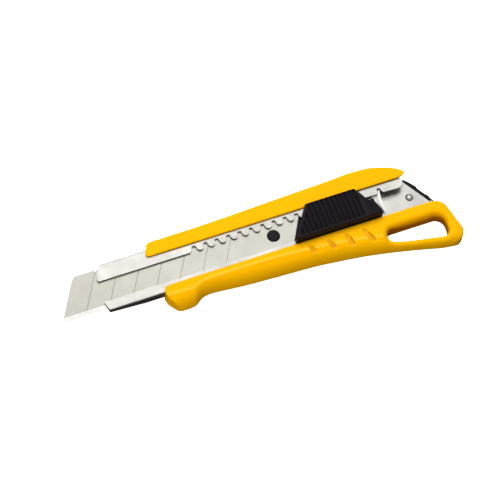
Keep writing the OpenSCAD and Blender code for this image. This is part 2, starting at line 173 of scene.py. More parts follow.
def add_floor():
    mesh = bpy.data.meshes.new("floor")
    made = bmesh.new()
    bmesh.ops.create_grid(made, x_segments=8, y_segments=8, size=1.5)
    made.to_mesh(mesh)
    made.free()
    floor = bpy.data.objects.new("floor", mesh)
    floor.location.z = cad_box[0].z
    floor.visible_glossy = False
    floor.visible_diffuse = False
    bpy.context.scene.collection.objects.link(floor)
    material = bpy.data.materials.new("floor")
    material.use_nodes = True
    shader = material.node_tree.nodes["Principled BSDF"]
    shader.inputs["Base Color"].default_value = (0.80, 0.80, 0.80, 1)
    shader.inputs["Roughness"].default_value = 0.9
    shader.inputs["Specular IOR Level"].default_value = 0.0
    shader.inputs["Emission Color"].default_value = (1, 1, 1, 1)
    shader.inputs["Emission Strength"].default_value = 1.3
    mesh.materials.append(material)


add_camera()
add_world()
add_floor()
add_area("top", (0.05, 0.35, 0.75), (1.0, 0.6), 8.3, glossy=False)
add_area("front", (-0.35, -0.40, 0.08), (0.5, 0.1), 1.4, glossy=False)
add_area("softbox", (0.04, 0.34, 0.72), (0.66, 0.46), 2.15, diffuse=False)
bpy.context.scene.view_settings.view_transform = "Standard"

# ---- materials ----


def new_material(name, **values):
    """A material and its Principled shader, with values set on the shader's own sockets."""
    material = bpy.data.materials.new(name)
    material.use_nodes = True
    shader = material.node_tree.nodes["Principled BSDF"]
    for key, value in values.items():
        shader.inputs[key.replace("_", " ")].default_value = value
    return material, material.node_tree, shader


def millimetres(tree, stretch=(1, 1, 1)):
    """Object coordinates in millimetres in the blade's frame, stretched."""
    place = node(tree, "ShaderNodeTexCoord").outputs["Object"]
    moved = node(tree, "ShaderNodeVectorMath", {0: place, 1: tuple(ORIGIN)}, operation="SUBTRACT")
    scale = tuple(s / MM for s in stretch)
    return node(tree, "ShaderNodeVectorMath", {0: moved.outputs["Vector"], 1: scale},
                operation="MULTIPLY").outputs["Vector"]


def noise(tree, place, scale, detail, rough=0.5):
    made = node(tree, "ShaderNodeTexNoise", {"Vector": place, "Scale": scale, "Detail": detail,
                                             "Roughness": rough})
    return made.outputs["Fac"]


def mapped(tree, value, low, high, to_low, to_high):
    """value from low..high to to_low..to_high, clamped."""
    return node(tree, "ShaderNodeMapRange", {"Value": value, "From Min": low, "From Max": high,
                                             "To Min": to_low, "To Max": to_high}).outputs["Result"]


def combined(tree, a, b, operation="MULTIPLY"):
    """a and b joined by a maths operation."""
    return node(tree, "ShaderNodeMath", {0: a, 1: b}, operation=operation).outputs["Value"]


def mixed(tree, factor, a, b):
    """Colour a where factor is 0 and colour b where it is 1."""
    made = tree.nodes.new("ShaderNodeMix")
    made.data_type = "RGBA"
    for socket, value in ((made.inputs[0], factor), (made.inputs[6], a), (made.inputs[7], b)):
        if isinstance(value, bpy.types.NodeSocket):
            tree.links.new(value, socket)
        elif isinstance(value, tuple):
            socket.default_value = (*value, 1)
        else:
            socket.default_value = value
    return made.outputs[2]


def bump(tree, shader, height, distance_mm, strength):
    made = node(tree, "ShaderNodeBump", {"Height": height, "Distance": distance_mm * MM,
                                         "Strength": strength})
    tree.links.new(made.outputs["Normal"], shader.inputs["Normal"])


def worn_edges(tree, radius_mm):
    """1 on sharp outer edges and 0 elsewhere, for worn edges."""
    soft = node(tree, "ShaderNodeBevel", {"Radius": radius_mm * MM}, samples=6).outputs["Normal"]
    flat = node(tree, "ShaderNodeNewGeometry").outputs["Normal"]
    same = node(tree, "ShaderNodeVectorMath", {0: soft, 1: flat}, operation="DOT_PRODUCT")
    return mapped(tree, same.outputs["Value"], 0.995, 0.90, 0.0, 1.0)


CREASE_HIGHLIGHT = "crease_highlight"                                          # vertex attribute: 1 on the crease, where a highlight is painted


def yellow_plastic():
    material, tree, shader = new_material("yellow_plastic", Specular_IOR_Level=0.022)
    place = millimetres(tree)
    cloud = noise(tree, place, 0.06, 4)
    grain = noise(tree, place, 5.0, 2)
    colour = mixed(tree, mapped(tree, cloud, 0.3, 0.7, 0.0, 1.0),
                   (0.95, 0.462, 0.0004), (0.93, 0.445, 0.0004))
    edge = node(tree, "ShaderNodeNewGeometry").outputs["Pointiness"]
    # lighter yellow on sharp convex edges, broken up by noise: scuffs, and partly a painted highlight
    scuff_and_sheen = combined(tree, mapped(tree, edge, 0.53, 0.60, 0.0, 0.4),
                     mapped(tree, noise(tree, place, 0.9, 5, 0.65), 0.45, 0.7, 0.0, 1.0))
    colour = mixed(tree, scuff_and_sheen, colour, (0.98, 0.60, 0.10))
    # painted highlight: a paler yellow line along the crease between the face and the belly's slope
    line = node(tree, "ShaderNodeAttribute", attribute_name=CREASE_HIGHLIGHT).outputs["Fac"]
    colour = mixed(tree, combined(tree, line, 0.65), colour, (0.98, 0.65, 0.07))
    # painted reflection: paler in the deepest hollows, such as the bottoms of the finger grooves
    colour = mixed(tree, mapped(tree, edge, 0.485, 0.45, 0.0, 0.45), colour, (0.95, 0.52, 0.13))
    # painted shade: darker brown where the moulding closes round a point, as on the loop's inner wall and in
    # the grooves
    open_side = node(tree, "ShaderNodeAmbientOcclusion", {"Distance": 12 * MM}, samples=8, only_local=True)
    hollow_shade = mapped(tree, open_side.outputs["AO"], 0.92, 0.45, 0.0, 0.75)
    colour = mixed(tree, hollow_shade, colour, (0.40, 0.15, 0.0006))
    tree.links.new(colour, shader.inputs["Base Color"])
    rough = mapped(tree, noise(tree, place, 0.8, 5), 0.3, 0.7, 0.34, 0.46)
    tree.links.new(rough, shader.inputs["Roughness"])
    bump(tree, shader, grain, 0.006, 0.6)
    return material


def steel(name, light, dark, rough, along, scratch=0.5):
    """Rolled or ground steel, with streaks that run along an axis and smudges."""
    material, tree, shader = new_material(name, Metallic=1.0)
    stretch = tuple(0.04 if axis == along else 1.0 for axis in range(3))
    streak = noise(tree, millimetres(tree, stretch), 4.0, 6, 0.7)
    smudge = noise(tree, millimetres(tree), 0.12, 4)
    tone = combined(tree, mapped(tree, streak, 0.3, 0.7, 0.0, 0.6),
                    mapped(tree, smudge, 0.3, 0.7, 0.0, 0.6), "ADD")
    colour = mixed(tree, tone, light, dark)
    colour = mixed(tree, combined(tree, worn_edges(tree, 0.12), 0.6), colour, (0.92, 0.92, 0.90))
    tree.links.new(colour, shader.inputs["Base Color"])
    gloss = combined(tree, mapped(tree, streak, 0.3, 0.7, rough - 0.06, rough + 0.06),
                     mapped(tree, smudge, 0.3, 0.7, -0.03, 0.05), "ADD")
    tree.links.new(gloss, shader.inputs["Roughness"])
    bump(tree, shader, streak, 0.004, scratch)
    return material


BEVEL_H = 2.0                                          # height of the blade's ground bevel
SEGMENT = 10.0                                         # distance between score lines
SCORES_FROM = (SEGMENT * 0.5, SEGMENT * 0.6)           # where the score lines' tone sets in
SCORES_TO = (SEGMENT * 7.4, SEGMENT * 7.5)             # and where it ends, past the seventh line
SCORE_HALF = (0.010, 0.016)                            # half width of a line and of its fade, per segment
# pale colour of the score lines, a painted highlight
SCORE_HIGHLIGHT = (0.80, 0.79, 0.72)


def blade_steel():
    """Ground blade: brushed face with painted shade that darkens it towards the tip, brighter bevel, and
    score lines painted pale as a highlight.
    """
    material, tree, shader = new_material("blade_steel", Metallic=1.0)
    place = millimetres(tree)
    parts = node(tree, "ShaderNodeSeparateXYZ", {"Vector": place})
    x, y = parts.outputs["X"], parts.outputs["Y"]
    streak = noise(tree, millimetres(tree, (0.05, 1.0, 1.0)), 5.0, 6, 0.7)
    across = noise(tree, millimetres(tree, (1.0, 0.06, 1.0)), 6.0, 4, 0.7)
    smudge = noise(tree, place, 0.15, 5)
    tone = combined(tree, mapped(tree, streak, 0.3, 0.7, 0.0, 0.7),
                    mapped(tree, smudge, 0.3, 0.7, 0.0, 0.3), "ADD")
    face = mixed(tree, tone, (0.47, 0.462, 0.41), (0.44, 0.432, 0.383))
    # painted shade: the face darker towards the tip
    face = mixed(tree, mapped(tree, x, 0.0, 60.0, 0.5, 0.0), face, (0.34, 0.333, 0.293))
    ground = mixed(tree, mapped(tree, across, 0.3, 0.7, 0.0, 1.0),
                   (0.84, 0.84, 0.82), (0.77, 0.77, 0.75))
    bevel = mapped(tree, y, BEVEL_H - 0.1, BEVEL_H + 0.05, 1.0, 0.0)
    colour = mixed(tree, bevel, face, ground)
    slanted = combined(tree, x, combined(tree, y, LEAN), "SUBTRACT")
    cell = combined(tree, combined(tree, slanted, SEGMENT, "DIVIDE"), 0.5, "ADD")
    offset = node(tree, "ShaderNodeMath", {0: cell}, operation="FRACT").outputs["Value"]
    away = node(tree, "ShaderNodeMath", {0: combined(tree, offset, 0.5, "SUBTRACT")},
                operation="ABSOLUTE").outputs["Value"]
    line = mapped(tree, away, *SCORE_HALF, 0.5, 0.0)
    inside = combined(tree, mapped(tree, slanted, *SCORES_FROM, 0.0, 1.0),
                      mapped(tree, slanted, *SCORES_TO, 1.0, 0.0))
    # painted highlight: a pale line along each score line
    colour = mixed(tree, combined(tree, line, inside), colour, SCORE_HIGHLIGHT)
    tree.links.new(colour, shader.inputs["Base Color"])
    gloss = combined(tree, mapped(tree, streak, 0.3, 0.7, 0.36, 0.46),
                     mapped(tree, smudge, 0.3, 0.7, -0.01, 0.02), "ADD")
    tree.links.new(gloss, shader.inputs["Roughness"])
    bump(tree, shader, streak, 0.003, 0.5)
    return material


def black_plastic():
    material, tree, shader = new_material("black_plastic", Specular_IOR_Level=0.12)
    place = millimetres(tree)
    cloud = noise(tree, place, 0.25, 5)
    grain = noise(tree, place, 6.0, 3, 0.6)
    colour = mixed(tree, mapped(tree, cloud, 0.3, 0.7, 0.0, 1.0),
                   (0.0048, 0.0036, 0.0052), (0.0068, 0.0052, 0.0070))
    colour = mixed(tree, combined(tree, worn_edges(tree, 0.25), 0.35), colour, (0.035, 0.032, 0.034))
    tree.links.new(colour, shader.inputs["Base Color"])
    tree.links.new(mapped(tree, grain, 0.3, 0.7, 0.38, 0.54), shader.inputs["Roughness"])
    bump(tree, shader, grain, 0.01, 0.6)
    return material


MATERIALS = {
    "yellow_plastic": yellow_plastic(),
    "channel_steel": steel("channel_steel", (0.575, 0.567, 0.527), (0.525, 0.516, 0.480), 0.42, 0),
    "blade_steel": blade_steel(),
    "black_plastic": black_plastic(),
    "spring_steel": steel("spring_steel", (0.68, 0.66, 0.645), (0.60, 0.58, 0.57), 0.38, 1),
    "rivet_steel": steel("rivet_steel", (0.90, 0.87, 0.88), (0.80, 0.77, 0.78), 0.22, 2, 0.2),
}

# ---- field tools ----


def curve(x, points):
    """Height at x of a smooth curve through the points, which are sorted by x."""
    px, py = np.array(points, float).T
    order = np.arange(len(px))
    before, after = np.maximum(order - 1, 0), np.minimum(order + 1, len(px) - 1)
    slope = (py[after] - py[before]) / (px[after] - px[before])
    i = np.clip(np.searchsorted(px, x, side="right") - 1, 0, len(px) - 2)
    h = px[i + 1] - px[i]
    t = np.clip((x - px[i]) / h, 0, 1)
    return ((2 * t**3 - 3 * t**2 + 1) * py[i] + (t**3 - 2 * t**2 + t) * h * slope[i]
            + (3 * t**2 - 2 * t**3) * py[i + 1] + (t**3 - t**2) * h * slope[i + 1])


def rounded(radius, *faces):
    """The part inside every face, with its outer edges rounded."""
    highest = faces[0]
    for face in faces[1:]:
        highest = np.maximum(highest, face)
    reach = sum(np.maximum(face + radius, 0) ** 2 for face in faces)
    return np.minimum(highest, -radius) + np.sqrt(reach)


def eased(width, a, b):
    """The part inside both faces, with the crease between them softened over a width."""
    near = np.maximum(width - np.abs(a - b), 0) / width
    return np.maximum(a, b) + near**2 * width / 4


def cuboid(x, y, z, low, high, radius=0.1):
    """Distance to a box with rounded edges."""
    sides = [np.abs(v - (a + b) / 2) - (b - a) / 2 for v, a, b in zip((x, y, z), low, high)]
    return rounded(radius, *sides)


def hull(x, y, circles, count=96):
    """Distance in plan to the hull of circles, each [x, y, radius]."""
    best = np.full(np.broadcast(x, y).shape, -FAR, float)
    for angle in np.linspace(0, 2 * math.pi, count, endpoint=False):
        c, s = math.cos(angle), math.sin(angle)
        edge = max(cx * c + cy * s + r for cx, cy, r in circles)
        best = np.maximum(best, x * c + y * s - edge)
    return best


def outline(x, y, points):
    """Distance in plan to a closed outline, negative inside."""
    points = np.array(points, float)
    best = np.full(np.broadcast(x, y).shape, 1e9, float)
    inside = np.zeros(best.shape, bool)
    for (ax, ay), (bx, by) in zip(points, np.roll(points, -1, axis=0)):
        ex, ey = bx - ax, by - ay
        t = np.clip(((x - ax) * ex + (y - ay) * ey) / (ex * ex + ey * ey), 0, 1)
        best = np.minimum(best, (x - ax - t * ex) ** 2 + (y - ay - t * ey) ** 2)
        if ey:
            crossed = (ay > y) != (by > y)
            inside ^= crossed & (x < ax + ex * (y - ay) / ey)
    return np.sqrt(best) * np.where(inside, -1, 1)


def smooth_line(points, count=6):
    """An open line through the points with rounded turns, count steps to each stretch."""
    p = np.array(points, float)
    p = np.vstack([2 * p[0] - p[1], p, 2 * p[-1] - p[-2]])
    made = []
    for a, b, c, d in zip(p[:-3], p[1:-2], p[2:-1], p[3:]):
        steps = [np.linalg.norm(v - u) ** 0.5 for u, v in ((a, b), (b, c), (c, d))]
        knots = np.cumsum([0] + steps)
        for t in np.linspace(knots[1], knots[2], count, endpoint=False):
            made.append(catmull(a, b, c, d, knots, t))
    made.append(p[-2])
    return np.array(made)


def catmull(a, b, c, d, k, t):
    """The point at t of the centripetal spline stretch from b to c."""
    ab = (a * (k[1] - t) + b * (t - k[0])) / (k[1] - k[0])
    bc = (b * (k[2] - t) + c * (t - k[1])) / (k[2] - k[1])
    cd = (c * (k[3] - t) + d * (t - k[2])) / (k[3] - k[2])
    left = (ab * (k[2] - t) + bc * (t - k[0])) / (k[2] - k[0])
    right = (bc * (k[3] - t) + cd * (t - k[1])) / (k[3] - k[1])
    return (left * (k[2] - t) + right * (t - k[1])) / (k[2] - k[1])


def surface_net(values, low, step):
    """Vertices and quads round the zero level of a field on a grid, one vertex to a crossed cell."""
    inside = values < 0
    count = np.zeros([n - 1 for n in values.shape], np.int8)
    for corner in np.ndindex(2, 2, 2):
        count += inside[tuple(slice(c, n - 1 + c) for c, n in zip(corner, values.shape))]
    crossed = (count > 0) & (count < 8)
    index = np.full(crossed.shape, -1)
    index[crossed] = np.arange(crossed.sum())
    at = np.argwhere(crossed)
    total, hits = np.zeros((len(at), 3)), np.zeros((len(at), 1))
    for axis in range(3):
        unit = np.eye(3, dtype=int)[axis]
        for other in np.ndindex(2, 2):
            start = np.insert(np.array(other), axis, 0)
            a = values[tuple((at + start).T)]
            b = values[tuple((at + start + unit).T)]
            cuts = ((a < 0) != (b < 0))[:, None]
            t = (a / np.where(a == b, 1, a - b))[:, None]
            total += np.where(cuts, start + t * unit, 0)
            hits += cuts
    points = (at + total / hits) * step + low
    quads = []
    for axis in range(3):
        u, v = (axis + 1) % 3, (axis + 2) % 3
        first = tuple(slice(0, -1) if k == axis else slice(1, -1) for k in range(3))
        second = tuple(slice(1, None) if k == axis else slice(1, -1) for k in range(3))
        change = inside[first] != inside[second]
        edge = np.argwhere(change) + [0 if k == axis else 1 for k in range(3)]
        eu, ev = np.eye(3, dtype=int)[u], np.eye(3, dtype=int)[v]
        ring = np.stack([index[tuple((edge - d).T)] for d in (eu + ev, ev, 0 * eu, eu)], axis=1)
        leaving = inside[tuple(edge.T)]
        quads.append(np.where(leaving[:, None], ring, ring[:, ::-1]))
    return points, np.vstack(quads)


def relax(points, quads, rounds):
    """Evens out the vertices and takes away the grid's last steps, without shrinking the shape."""
    ends = np.vstack([quads[:, [i, (i + 1) % 4]] for i in range(4)])
    ends = np.vstack([ends, ends[:, ::-1]])
    degree = np.bincount(ends[:, 0], minlength=len(points))[:, None]
    for amount in (0.5, -0.52) * rounds:
        mean = np.stack([np.bincount(ends[:, 0], points[ends[:, 1], k], len(points)) for k in range(3)], 1)
        points = points + amount * (mean / degree - points)
    return points


def place_piece(name, mesh, body, slot, *nodes):
    """Puts a mesh, made in millimetres in the blade frame, into the scene in place of CAD nodes."""
    mesh.transform(Matrix.Translation(ORIGIN) @ Matrix.Scale(MM, 4))
    mesh.materials.clear()
    mesh.materials.append(MATERIALS[slot])
    piece = bpy.data.objects.new(name, mesh)
    bpy.context.scene.collection.objects.link(piece)
    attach(piece, body)
    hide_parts(*nodes)


def mesh_of_field(name, field, low, high, step):
    """A smooth mesh of a field, in millimetres."""
    axes = [np.arange(a, b + step, step) for a, b in zip(low, high)]
    x, y, z = axes[0][:, None, None], axes[1][None, :, None], axes[2][None, None, :]
    values = np.broadcast_to(field(x, y, z), [len(a) for a in axes])
    points, quads = surface_net(values, np.array(low, float), step)
    points = relax(points, quads, 2)
    mesh = bpy.data.meshes.new(name)
    mesh.from_pydata(points.tolist(), [], quads.tolist())
    mesh.update()
    mesh.shade_smooth()
    return mesh


# ---- yellow mouldings ----

LIP = 1.2                                              # edge of the grip's lip over the channel
RAIL_LIP = 15.65                                       # edge of the rail's lip over the channel
WEB = (46.5, 146.4)                                    # ends of the back web, behind the channel
WEB_SEAM = 15.2                                        # where the grip's web meets the rail's
BELLY_ROUND = 4.2                                      # radius between the belly's slope and its wall
BELLY_SLOPE = [[40, 0.44], [125, 0.44], [140, 0.33], [152, 0.15], [HANDLE_END, 0.1]]

BELLY = [[40, -9.2], [48, -9.25], [51.9, -9.3], [55, -8.7], [58.2, -6.6], [62, -5.9], [67, -6.2], [77, -7.1],
         [92, -7.9], [107, -8.6], [116, -9.5], [128, -11], [140, -13.2], [152, -15.9], [160, -17.9],
         [165, -18.62], [172, -19.5]]
CREASE = [[GRIP_X0, -2.8], [55, -3.2], [58, -2.1], [62, -1.3], [80, -1.2], [100, -2], [107, -2.6],
          [115, -3.4], [123, -4.4], [131, -5.8], [137, -6.8], [144, -7], [HANDLE_END, -7]]
FACE_SINK = [[GRIP_X0, 0], [144, 0], [154, 0], [162, 0.2], [166, 0.5], [HANDLE_END, 0.9]]
TOP_ROUND = [[GRIP_X0, 0.9], [46, 0.8], [50, 0.4], [156, 0.4], [162, 0.7], [165, 1.5], [167, 2.3],
             [HANDLE_END, 3.0]]
REAR = [[162.0, LIP], [163.4, 1.18], [165.4, 0.7], [167.2, -0.7], [168.5, -4.0], [169.6, -8.6],
        [170.45, -11.6], [HANDLE_END, -13.2], [170.3, -15.3], [168.9, -17.2], [166.6, -18.5],
        [163.6, -19.2]]
FRONT = [[48.6, -9.6], [46.2, -6.9], [44.5, -4.6], [GRIP_X0 + 0.02, -2.4], [GRIP_X0 + 0.02, -0.9],
         [44.3, 0.5], [45.2, 1.05], [46.4, LIP]]
LOOP = [[142, -7.35, 2.65], [160.8, -8.9, 4.2], [161.9, -11.5, 2.9]]
LOOP_FLARE = [[BACK, 0.8], [-4.5, 0.8], [-1.5, 2.6], [FACE, 2.6]]   # rounding of its edge, by height
GROOVE_R = 1.0
GROOVE_LIFT = (0.4, 0.0)                               # of a groove's two ends above the face
GROOVES = [[[107.1, -1.7], [107.9, -4.0]], [[115.1, -2.0], [116.3, -4.9]],
           [[123.0, -2.0], [124.2, -5.9]], [[130.7, -2.2], [132.9, -7.2]]]
GROOVE_ROUND = 0.25                                    # of a groove's edge
RIVETS = [[58, 6], [58, 16.3], [132, 6], [132, 16.3]]
RIVET_SHANK, RIVET_HEAD, RIVET_HEAD_H = 1.5, 2.8, 1    # radii of shank and rear head, and the head's height
POCKET_ROUND = 0.25                                    # of the edges of the channel's pocket
WEB_RISE = 0.8                                         # of the webs into the pocket, which is cut later
WEB_ROUND = 0.3
FACE_EASE, WALL_EASE = 0.2, 0.6                        # creases of the belly with the face and the ends
BACK_BELLY_ROUND, BACK_ROUND = 3.0, 0.9                # of the back's edge, below the belly and elsewhere


def belly_side(x, y, z):
    """The slope below the crease, and the wall under it."""
    return rounded(BELLY_ROUND, belly_slope(x, y, z), curve(x, BELLY) - y)


def belly_slope(x, y, z):
    slope = curve(x, BELLY_SLOPE)
    high = FACE - curve(x, FACE_SINK)
    return (z - high + (curve(x, CREASE) - y) * slope) / np.hypot(1, slope)


def grip_face(x, y):
    """Height of the grip's front face at a point."""
    return FACE - max(curve(x, CREASE) - y, 0) * curve(x, BELLY_SLOPE)


def groove(x, y, z, ends):
    a, b = (np.array([px, py, grip_face(px, py) + lift]) for (px, py), lift in zip(ends, GROOVE_LIFT))
    along = b - a
    reach = (x - a[0]) * along[0] + (y - a[1]) * along[1] + (z - a[2]) * along[2]
    t = np.clip(reach / (along @ along), 0, 1)
    return np.sqrt(sum((v - a[k] - t * along[k]) ** 2 for k, v in enumerate((x, y, z)))) - GROOVE_R


def without_channel(x, y, z, field, low, high):
    """Cuts away the channel's space and the rivets' holes."""
    pocket = cuboid(x, y, z, (NOSE_X, low, FLOOR_LOW - GAP), (SHEATH_END + GAP, high, LIP_TOP + GAP))
    field = rounded(POCKET_ROUND, field, -pocket)
    for px, py in RIVETS:
        away = np.hypot(x - px, y - py)
        field = np.maximum(field, np.minimum(RIVET_SHANK + GAP - away, -z))
        field = np.maximum(field, np.minimum(RIVET_HEAD + GAP - away, BACK + RIVET_HEAD_H - z))
    return field


def grip_field(x, y, z):
    plan = outline(x[:, :, 0], y[:, :, 0], np.vstack([
        smooth_line(REAR), [[150, -24], [100, -40], [60, -24]], smooth_line(FRONT)]))[:, :, None]
    face = z - (FACE - curve(x, FACE_SINK))
    back = BACK - z
    side = belly_side(x, y, z)
    field = np.maximum(eased(FACE_EASE, face, side), rounded(curve(x, TOP_ROUND), face, plan))
    field = np.maximum(field, eased(WALL_EASE, side, plan))
    field = np.maximum(field, rounded(BACK_BELLY_ROUND, back, side))
    field = np.maximum(field, rounded(BACK_ROUND, back, plan))
    web = cuboid(x, y, z, (WEB[0], -1, BACK), (WEB[1], WEB_SEAM, FLOOR_LOW + WEB_RISE), WEB_ROUND)
    field = np.minimum(field, web)
    field = rounded(curve(z, LOOP_FLARE), field, -hull(x, y, LOOP))
    for ends in GROOVES:
        field = rounded(GROOVE_ROUND, field, -groove(x, y, z, ends))
    return without_channel(x, y, z, field, WALL_LOW - GAP, FAR)


RAIL_OUTER = [[RAIL_X0, 17.1], [42.2, 18.7], [43.1, 20.7], [43.6, 21.4], [44.7, 21.8], [48, 22.1],
              [67, 22.3], [103, 23.5], [125.5, 24.3], [133, 24.7], [138.7, 24.6], [143.7, 24.1],
              [149.7, 22.2], [152.5, 20.8], [155, 19.0], [155.9, 18.1], [RAIL_X1, 17.3]]
RAIL_INNER = [[155.9, 16.6], [154.9, 16.2], [153.4, 15.75], [152, RAIL_LIP], [151, RAIL_LIP],
              [46, RAIL_LIP], [43.2, RAIL_LIP], [42.1, 15.85], [RAIL_X0 + 0.1, 16.4]]
RAIL_ROUND = 1.45                                      # of its outer edges, more than of its inner ones
RAIL_TAPER = 8                                         # length at each end over which that grows


def rail_field(x, y, z):
    plan = outline(x[:, :, 0], y[:, :, 0], smooth_line(RAIL_OUTER + RAIL_INNER))[:, :, None]
    face = z - FACE
    back = BACK - z
    middle = (curve(x, RAIL_OUTER[1:]) + RAIL_LIP) / 2
    outer = np.clip((y - middle + 1.5) / 3, 0, 1)
    along = np.clip(np.minimum(x - RAIL_X0, RAIL_X1 - x) / RAIL_TAPER, 0, 1)
    radius = 0.35 + RAIL_ROUND * along * outer * outer * (3 - 2 * outer)
    field = np.maximum(rounded(radius, face, plan), rounded(radius, back, plan))
    notch = cuboid(x, y, z, (153, 0, -FAR), (FAR, FAR, FLOOR_LOW - GAP))
    field = rounded(0.3, field, -notch)
    strip = cuboid(x, y, z, (WEB[0], WEB_SEAM + GAP, BACK),
                   (WEB[1], RAIL_LIP + 1, FLOOR_LOW + WEB_RISE), WEB_ROUND)
    field = np.minimum(field, strip)
    return without_channel(x, y, z, field, 0, WALL_HIGH + GAP)


def paint_crease_highlight(mesh):
    """Marks the vertices on the line where the front face meets the belly's slope, where a highlight is
    painted.
    """
    points = np.empty(len(mesh.vertices) * 3)
    mesh.vertices.foreach_get("co", points)
    x, y, z = points.reshape(-1, 3).T
    away = np.abs(z - FACE + curve(x, FACE_SINK)) + np.abs(belly_slope(x, y, z))
    strength = np.clip(curve(x, BELLY_SLOPE) / 0.3 - 0.5, 0, 1)
    crease_highlight = mesh.attributes.new(CREASE_HIGHLIGHT, "FLOAT", "POINT")
    crease_highlight.data.foreach_set("value", np.clip(1.2 - away / CREASE_HIGHLIGHT_REACH, 0, 1) * strength)


MESH_STEP = 0.34
CREASE_HIGHLIGHT_REACH = 0.26                                      # distance over which the crease's painted highlight fades

grip_mesh = mesh_of_field("grip", grip_field, (GRIP_X0 - 1, -20.5, BACK - 1),
                          (HANDLE_END + 1, 16.5, FACE + 1), MESH_STEP)
paint_crease_highlight(grip_mesh)
place_piece("grip", grip_mesh, "handle", "yellow_plastic", "grip_body")
rail_mesh = mesh_of_field("rail", rail_field, (RAIL_X0 - 1, 13.5, BACK - 1),
                          (RAIL_X1 + 1, 26, FACE + 1), MESH_STEP)
place_piece("rail", rail_mesh, "handle", "yellow_plastic", "spine_rail")

# ---- thumb slider ----

SLIDER_FRONT = [(101.5, SLIDER_LOW), (110.6, SLIDER_HIGH)]
SLIDER_REAR = [(140.5, SLIDER_LOW), (132.5, SLIDER_HIGH)]
SLOPE_FROM, SLOPE = 134.8, 0.134                       # behind the ribs the top slopes down
RIB_PITCH, RIB_DEPTH, RIB_FROM, RIB_COUNT = 2.05, 0.7, 103.2, 15
RIB_FLAT = 0.31                                        # half width of a groove's bottom
RIB_FLANK = 0.5                                        # half width that it gains for each z
RIB_FRAME = (1.4, 1.1, 1.1, 0.5)                       # plain margin at the front, rear, low and high side
T_SLOT = [((111.1, 5.0, 0), (132.9, 9.2, 3.0)), ((111.1, 4.0, 2.85), (132.9, 10.2, 4.35))]


def beside(x, y, start, end):
    """Distance in plan to the right of the line from start to end."""
    (ax, ay), (bx, by) = start, end
    return ((x - ax) * (by - ay) - (y - ay) * (bx - ax)) / math.hypot(bx - ax, by - ay)


def slider_field(x, y, z):
    sides = (beside(x, y, *SLIDER_FRONT[::-1]), beside(x, y, *SLIDER_REAR), SLIDER_LOW - y, y - SLIDER_HIGH)
    top = np.maximum(z - SLIDER_TOP, z - SLIDER_TOP + (x - SLOPE_FROM) * SLOPE)
    field = rounded(0.35, rounded(0.5, *sides), top)
    field = rounded(0.15, field, SLIDER_BOTTOM - z)
    across = np.mod(x - RIB_FROM + RIB_PITCH / 2, RIB_PITCH) - RIB_PITCH / 2
    bottom = SLIDER_TOP - RIB_DEPTH
    flank = (np.abs(across) - RIB_FLAT - RIB_FLANK * (z - bottom)) / math.hypot(1, RIB_FLANK)
    last = x - RIB_FROM - (RIB_COUNT - 0.5) * RIB_PITCH
    framed = [side + margin for side, margin in zip(sides, RIB_FRAME)]
    field = rounded(0.12, field, -rounded(0.15, flank, bottom - z, last, *framed))
    for low, high in T_SLOT:
        field = np.maximum(field, -cuboid(x, y, z, low, high))
    return field


SLIDER_STEP = 0.2

slider_mesh = mesh_of_field("slider", slider_field, (101, SLIDER_LOW - 1, SLIDER_BOTTOM - 1),
                            (142, SLIDER_HIGH + 1, SLIDER_TOP + 1), SLIDER_STEP)
place_piece("slider", slider_mesh, "slider", "black_plastic", "slider_button")

# ---- folded steel channel ----

SHEET = 0.9
FOLD_R = 0.6                                           # outer radius of a fold
NOSE_LOW = -1.55                                       # underside of the floor at the nose
RAMP_END = NOSE_X + 17
RAMP_EASE = 2.0                                        # length over which the ramp runs into the floor
FIRST_NOTCH, NOTCH_PITCH, NOTCH_COUNT, STOW_NOTCH = 61.6, 5, 15, 143.2
TOOTH_TIP, TOOTH_R, TOOTH_FLANK = 12.0, 1.42, 12
NOTCH_ROOT, NOTCH_HALF, NOTCH_R = 14.6, 0.78, 0.35
LIP_BACK, LIP_REAR = 2.84, 1.7                         # edge of the lower lip ahead of the slider, and behind
REAR_CUT = 153.5                                       # where the diagonal rear end leaves the upper wall
RIVET_AT, REAR_RIVET_R = (155.2, 7.5), 1
COUNTERSINK = 2.7                                      # radius of a rivet's hole just above the floor
EDGE = 0.1                                             # rounding of the sheet's cut edges


def arc(centre, rx, ry, start, end, count):
    """Points of an elliptical arc, with its angles in degrees."""
    angles = np.radians(np.linspace(start, end, count + 1))
    return [(centre[0] + rx * math.cos(a), centre[1] + ry * math.sin(a)) for a in angles]


def solid_of_rings(rings, closed=False):
    """A mesh through rings of points, capped at both ends, or joined round if it is closed."""
    made = bmesh.new()
    rows = [[made.verts.new(point) for point in ring] for ring in rings]
    pairs = list(zip(rows, rows[1:])) + ([(rows[-1], rows[0])] if closed else [])
    for before, after in pairs:
        for i in range(len(before)):
            j = (i + 1) % len(before)
            made.faces.new((before[i], before[j], after[j], after[i]))
    if not closed:
        made.faces.new(rows[0][::-1])
        made.faces.new(rows[-1])
    bmesh.ops.recalc_face_normals(made, faces=made.faces)
    mesh = bpy.data.meshes.new("rings")
    made.to_mesh(mesh)
    made.free()
    return mesh


def prism(points, low, high):
    """A plan outline between two heights."""
    return solid_of_rings([[(x, y, z) for x, y in points] for z in (low, high)])


def cone(at, low, high, radius_low, radius_high, count=40):
    """A straight or tapered pin that stands on a point of the plan."""
    return solid_of_rings([[(x, y, z) for x, y in arc(at, r, r, 0, 360 - 360 / count, count - 1)]
                           for z, r in ((low, radius_low), (high, radius_high))])


